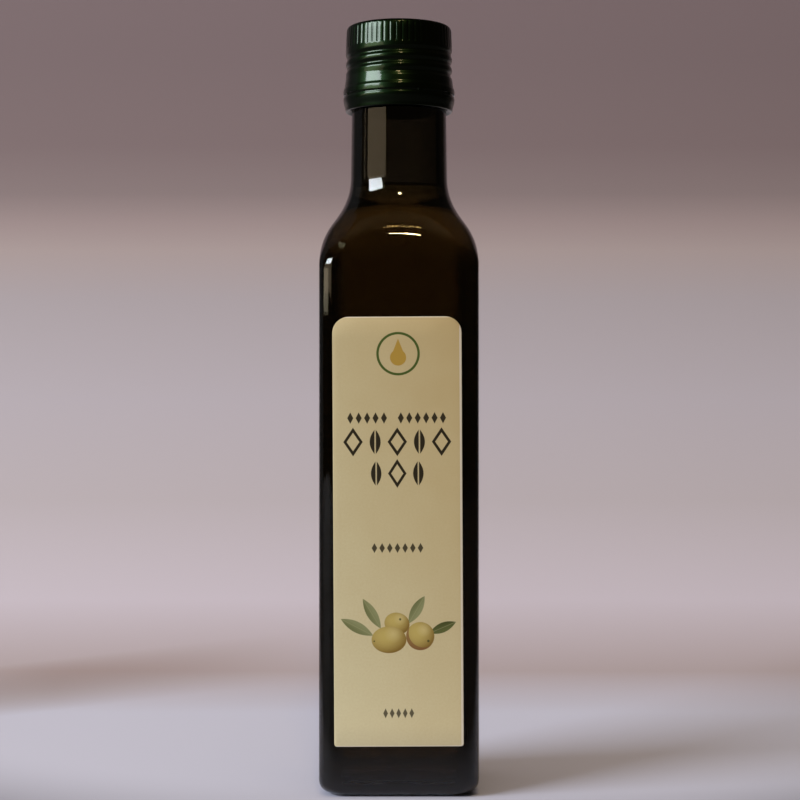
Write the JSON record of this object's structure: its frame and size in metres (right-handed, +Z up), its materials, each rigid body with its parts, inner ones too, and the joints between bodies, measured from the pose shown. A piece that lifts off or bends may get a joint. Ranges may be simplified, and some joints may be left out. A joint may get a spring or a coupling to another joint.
{
  "type": "oil bottle",
  "caption": "Square dark glass bottle of oil with a round neck, a knurled green screw cap and a cream label on the front.",
  "frame": {"origin": "middle of the base, on the surface that the bottle stands on", "axes": "+Z up along the bottle's axis, the label faces -Y, +X to the right as seen from the label's side"},
  "size_m": [0.046, 0.0462, 0.2239],
  "materials": {
    "glass": "dark green-brown glass, fire polished",
    "oil": "clear yellow-green oil",
    "cap": "dark green lacquered aluminium, semi-gloss",
    "label": "smooth cream label paper with a soft sheen"
  },
  "bodies": {
    "root": {"bottle": "glass", "oil": "oil", "cap": "cap", "label": "label"}
  },
  "joints": []
}
